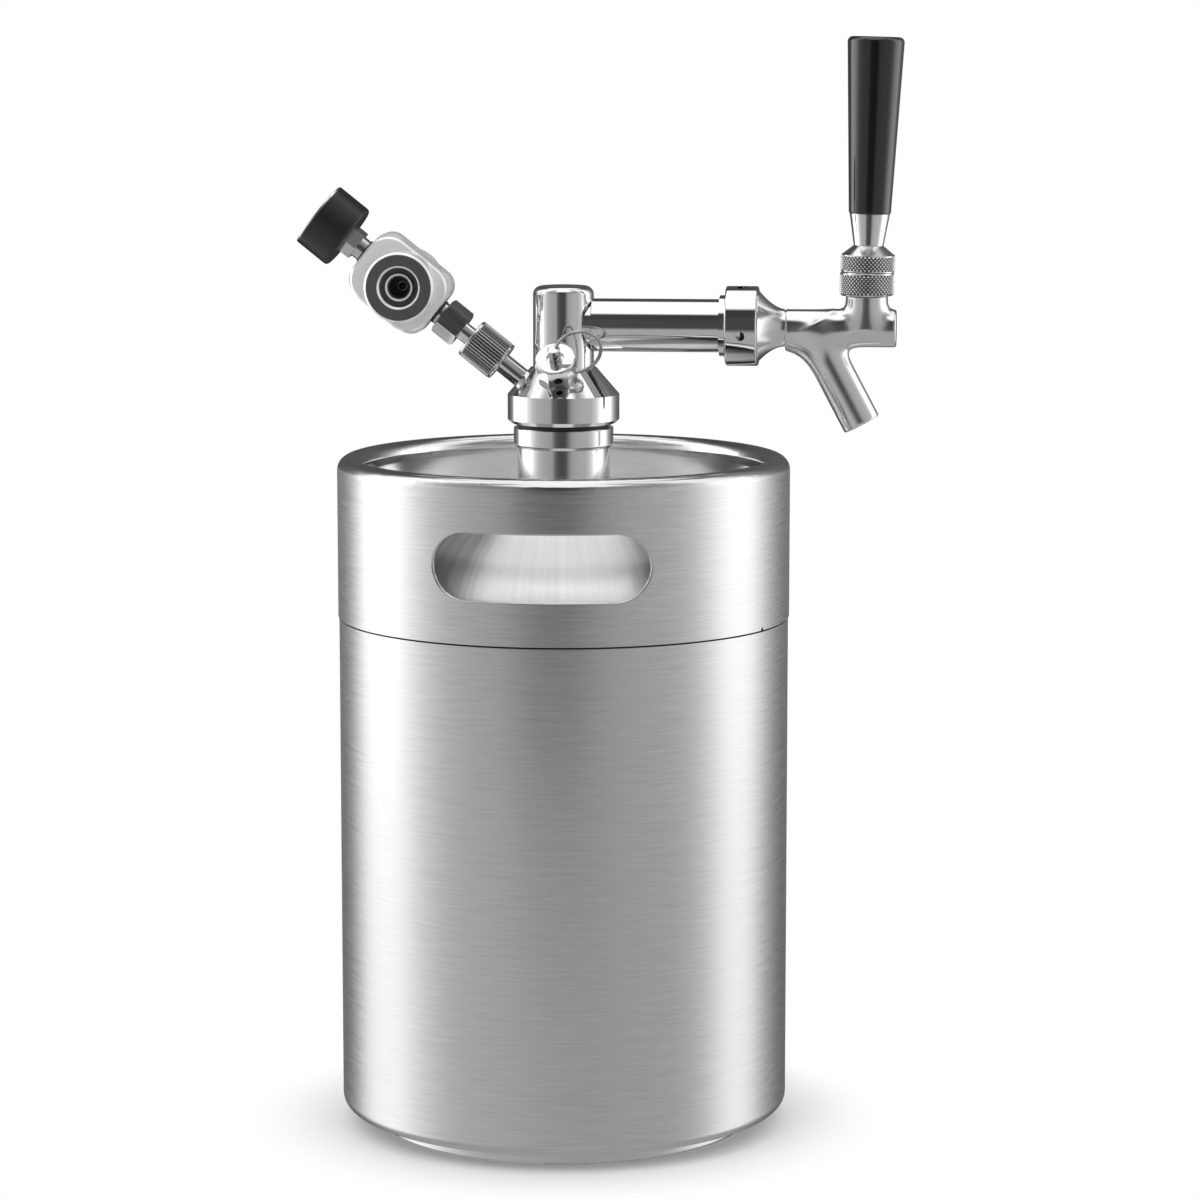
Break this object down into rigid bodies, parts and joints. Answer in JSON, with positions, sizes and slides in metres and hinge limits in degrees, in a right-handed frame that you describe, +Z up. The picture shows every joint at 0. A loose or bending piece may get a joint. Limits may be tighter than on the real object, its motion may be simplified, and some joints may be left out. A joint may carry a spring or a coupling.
{
  "type": "mini_keg_dispenser",
  "caption": "Stainless mini keg with a screw-on chrome tap head: lever faucet with black handle, pressure relief ring, and a cartridge gas regulator with gauge.",
  "frame": {"origin": "centre of the foot ring's lower edge, on the floor under the keg's axis", "axes": "+Z up along the keg's axis; the tap's arm points along +X; the hand slots face -Y and +Y; the cartridge port opens towards -Y"},
  "size_m": [0.2291, 0.172, 0.4154],
  "materials": {
    "keg_steel": "brushed round the keg's axis",
    "polished_chrome": "mirror polished",
    "satin_chrome": "satin polished, fine diamond knurls on the bonnet and collar",
    "dark_nickel": "dark nickel plating",
    "stainless": "turned",
    "black_rubber": "matt",
    "gloss_black": "gloss black",
    "black_plastic": "fine satin",
    "satin_aluminium": "satin, bead blasted",
    "plated_insert": "bright plated",
    "brass": "turned",
    "spring_steel": "drawn wire",
    "black_enamel": "satin black",
    "bezel_silver": "bright plated",
    "clear_glass": "clear",
    "white_enamel": "matt white with a plain printed scale"
  },
  "bodies": {
    "keg": {"keg_body": "keg_steel", "foot_ring": "keg_steel", "keg_dome": "keg_steel", "keg_neck": "keg_steel", "handle_ring": "keg_steel"},
    "gasket": {"cap_gasket": "black_rubber"},
    "head": {"head_cap": "polished_chrome", "dip_tube": "stainless", "dip_tube_seal": "black_rubber", "tap_tower": "polished_chrome", "tap_arm": "polished_chrome", "arm_clip": "polished_chrome", "coupling_washer": "black_rubber", "faucet_body": "satin_chrome", "faucet_bonnet": "satin_chrome", "ball_seal": "black_rubber", "relief_body": "satin_chrome", "relief_cap": "polished_chrome", "relief_spring": "spring_steel", "gas_post": "polished_chrome"},
    "coupling_nut_turning": {"coupling_nut": "polished_chrome"},
    "swivel_nut_turning": {"swivel_nut": "satin_chrome"},
    "lever": {"ball_lever": "stainless", "lever_collar": "satin_chrome", "handle_ferrule": "polished_chrome", "tap_handle": "gloss_black"},
    "shaft": {"faucet_shaft": "stainless", "seat_washer": "black_rubber", "shaft_nut": "stainless"},
    "relief_plunger": {"relief_stem": "polished_chrome", "relief_seal": "black_rubber"},
    "pull_ring_turning": {"pull_ring": "polished_chrome"},
    "regulator": {"gas_washer": "black_rubber", "gas_stem": "polished_chrome", "outlet_hex": "dark_nickel", "outlet_seal": "black_rubber", "regulator_body": "satin_aluminium", "port_insert": "plated_insert", "port_seal": "black_rubber", "piercing_pin": "brass", "diaphragm": "black_rubber", "spring_button": "brass", "adjust_spring": "spring_steel", "regulator_bonnet": "satin_aluminium", "gauge_seal": "black_rubber", "gauge_socket": "dark_nickel", "gauge_case": "black_enamel", "gauge_bezel": "bezel_silver", "gauge_lens": "clear_glass", "gauge_dial": "white_enamel", "bourdon_tube": "brass"},
    "adjuster": {"adjust_knob": "black_plastic", "knob_circlip": "spring_steel"},
    "plate": {"pressure_plate": "brass"},
    "needle": {"gauge_needle": "black_enamel"}
  },
  "joints": [
    {"name": "head_lift", "type": "slide", "parent": "keg", "child": "gasket", "axis": [0, 0, 1], "range_m": [0, 0.26]},
    {"name": "head_turn", "type": "hinge", "parent": "gasket", "child": "head", "pos_m": [0, 0, 0.27], "axis": [0, 0, 1], "continuous": true},
    {"name": "coupling_nut_turn", "type": "hinge", "parent": "head", "child": "coupling_nut_turning", "pos_m": [0.0678, 0, 0.3071], "axis": [1, 0, 0], "continuous": true},
    {"name": "swivel_nut_turn", "type": "hinge", "parent": "head", "child": "swivel_nut_turning", "pos_m": [-0.0297, 0, 0.29761], "axis": [-0.7815, 0, 0.6239], "continuous": true},
    {"name": "handle_pull", "type": "hinge", "parent": "head", "child": "lever", "pos_m": [0.1145, 0, 0.3204], "axis": [0, 1, 0], "range_deg": [0, 24]},
    {"name": "shaft_slide", "type": "slide", "parent": "head", "child": "shaft", "axis": [-1, 0, 0], "range_m": [0, 0.0055]},
    {"name": "relief_pull", "type": "slide", "parent": "head", "child": "relief_plunger", "axis": [-0.037, -0.7061, 0.7071], "range_m": [0, 0.002], "stiffness_N_per_m": 800, "springref_m": -0.003, "deforming": ["relief_spring"]},
    {"name": "pull_ring_swing", "type": "hinge", "parent": "relief_plunger", "child": "pull_ring_turning", "pos_m": [-0.00116, -0.02215, 0.29809], "axis": [0.2633, -0.6895, -0.6747], "range_deg": [0, 150]},
    {"name": "regulator_swivel", "type": "hinge", "parent": "head", "child": "regulator", "pos_m": [0, 0, 0.2739], "axis": [-0.7815, 0, 0.6239], "continuous": true},
    {"name": "adjust_knob_turn", "type": "hinge", "parent": "regulator", "child": "adjuster", "pos_m": [-0.06018, 0, 0.32194], "axis": [0, -1, 0], "range_deg": [0, 720]},
    {"name": "plate_travel", "type": "slide", "parent": "regulator", "child": "plate", "axis": [0, -1, 0], "range_m": [0, 0.00201], "deforming": ["adjust_spring"]},
    {"name": "needle_turn", "type": "hinge", "parent": "regulator", "child": "needle", "pos_m": [-0.09003, 0, 0.34577], "axis": [0.7815, 0, -0.6239], "range_deg": [0, 270], "stiffness_Nm_per_rad": 0.0001}
  ],
  "couplings": [
    {"joint": "shaft_slide", "follows": "handle_pull", "m_per_rad": 0.01303},
    {"joint": "plate_travel", "follows": "adjust_knob_turn", "m_per_rad": 0.00015915}
  ]
}
